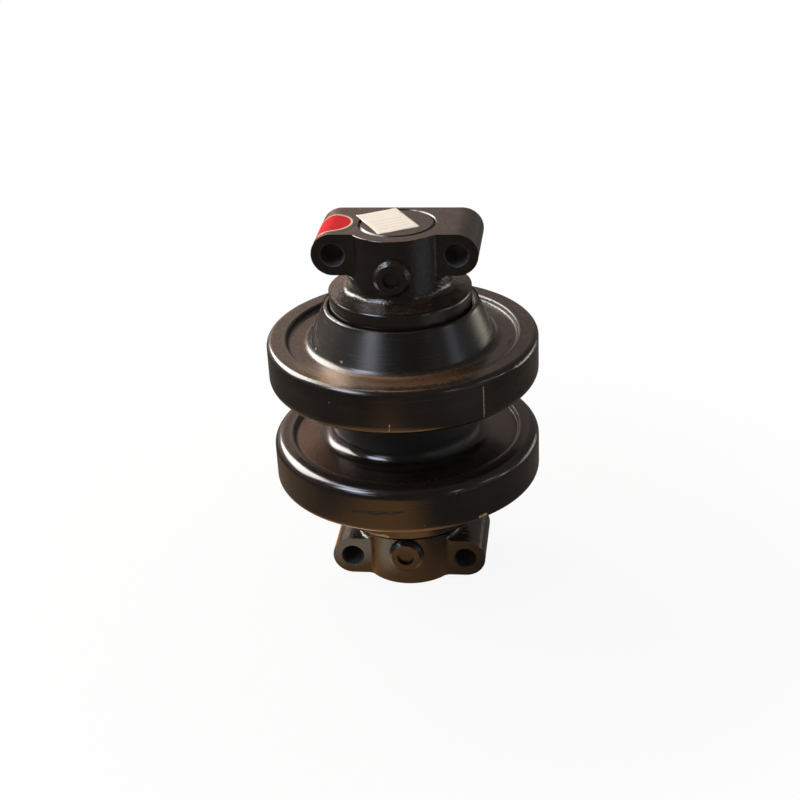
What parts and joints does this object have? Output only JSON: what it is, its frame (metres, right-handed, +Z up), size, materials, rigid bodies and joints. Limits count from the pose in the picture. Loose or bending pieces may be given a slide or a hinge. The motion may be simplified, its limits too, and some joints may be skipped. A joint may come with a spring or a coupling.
{
  "type": "track roller",
  "caption": "Double-rim crawler track roller: a waisted steel shell turns on oil-filled bushes round a fixed shaft, held by a lugged collar at each end that bolts to the track frame.",
  "frame": {"origin": "on the roller's axis, at the end face of the lower collar, which the part stands on", "axes": "+Z up along the roller's axis; +Y out of the bolted faces of the collars, towards the track frame; the lock pins' bosses face -Y"},
  "size_m": [0.266, 0.266, 0.375],
  "materials": {
    "black_paint": "semi-gloss",
    "turned_steel": "turned",
    "seal_iron": "lapped",
    "bush_bronze": "bored",
    "rubber": "matte",
    "copper": "annealed"
  },
  "bodies": {
    "axle": {"shaft": "turned_steel", "upper_collar": "black_paint", "lower_collar": "black_paint", "upper_lock_pin": "turned_steel", "lower_lock_pin": "turned_steel", "upper_collar_seal_ring": "seal_iron", "lower_collar_seal_ring": "seal_iron", "upper_collar_toric": "rubber", "lower_collar_toric": "rubber", "upper_shaft_o_ring": "rubber", "lower_shaft_o_ring": "rubber", "oil_plug": "turned_steel", "oil_plug_washer": "copper"},
    "roller": {"roller_shell": "black_paint", "upper_bush": "bush_bronze", "lower_bush": "bush_bronze", "upper_shell_seal_ring": "seal_iron", "lower_shell_seal_ring": "seal_iron", "upper_shell_toric": "rubber", "lower_shell_toric": "rubber"}
  },
  "joints": [
    {"name": "roller_spin", "type": "hinge", "parent": "axle", "child": "roller", "pos_m": [0, 0, 0.1875], "axis": [0, 0, 1], "continuous": true}
  ]
}
